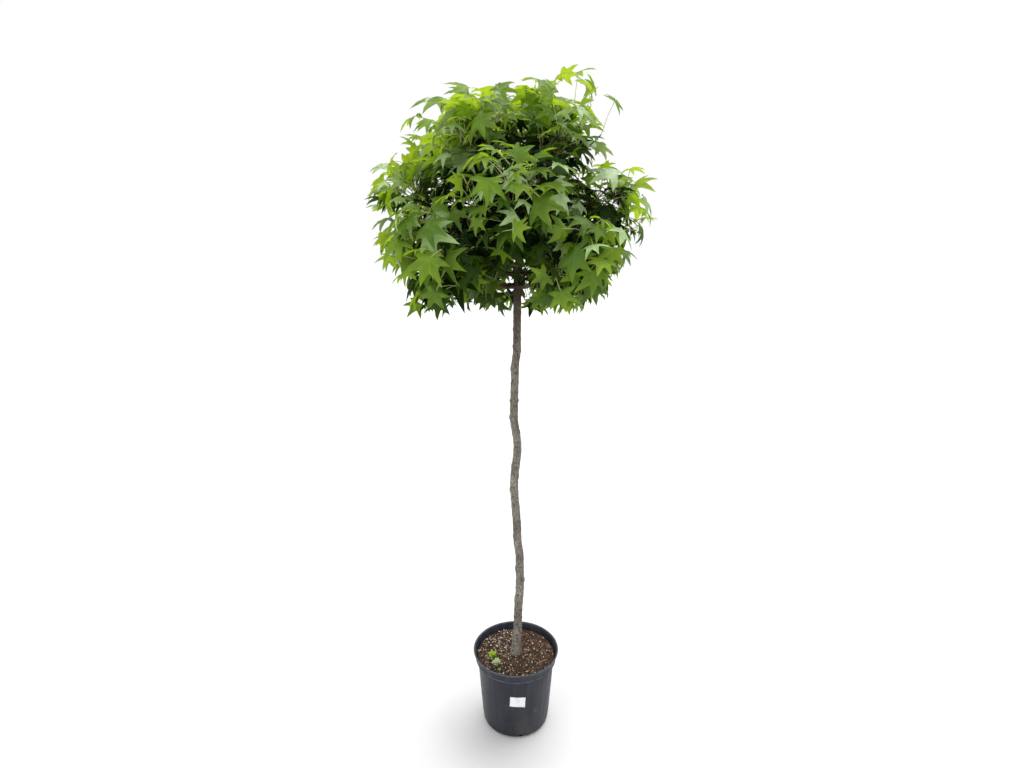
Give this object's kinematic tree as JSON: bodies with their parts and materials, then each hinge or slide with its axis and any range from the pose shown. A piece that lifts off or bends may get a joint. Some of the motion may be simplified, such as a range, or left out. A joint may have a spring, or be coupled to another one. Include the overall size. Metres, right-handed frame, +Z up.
{
  "type": "potted standard tree",
  "caption": "Young standard tree: a clear, slightly wavy stem with a round head of hanging star-shaped leaves, growing in a tapered black nursery pot with a flared rim.",
  "frame": {"origin": "middle of the pot's flat underside, on the ground", "axes": "+Z up along the stem, -Y towards the front, where the pot's blank label is"},
  "size_m": [0.8463, 0.79, 2.0119],
  "materials": {
    "pot_plastic": "matte",
    "label_paper": "matte",
    "potting_mix": "rough",
    "bark": "rough",
    "leaves": "satin"
  },
  "bodies": {
    "root": {"pot": "pot_plastic", "label": "label_paper", "soil": "potting_mix", "trunk": "bark", "bough_low_front_left": "bark", "bough_low_front_right": "bark", "bough_low_back_right": "bark", "bough_low_back_left": "bark", "bough_middle_left": "bark", "bough_middle_front": "bark", "bough_middle_right": "bark", "bough_middle_back": "bark", "bough_top_front_left": "bark", "bough_top_front_right": "bark", "bough_top_back_right": "bark", "bough_top_back_left": "bark", "foliage_low_front_left": "leaves", "foliage_low_front_right": "leaves", "foliage_low_back_right": "leaves", "foliage_low_back_left": "leaves", "foliage_middle_left": "leaves", "foliage_middle_front": "leaves", "foliage_middle_right": "leaves", "foliage_middle_back": "leaves", "foliage_top_front_left": "leaves", "foliage_top_front_right": "leaves", "foliage_top_back_right": "leaves", "foliage_top_back_left": "leaves"}
  },
  "joints": []
}
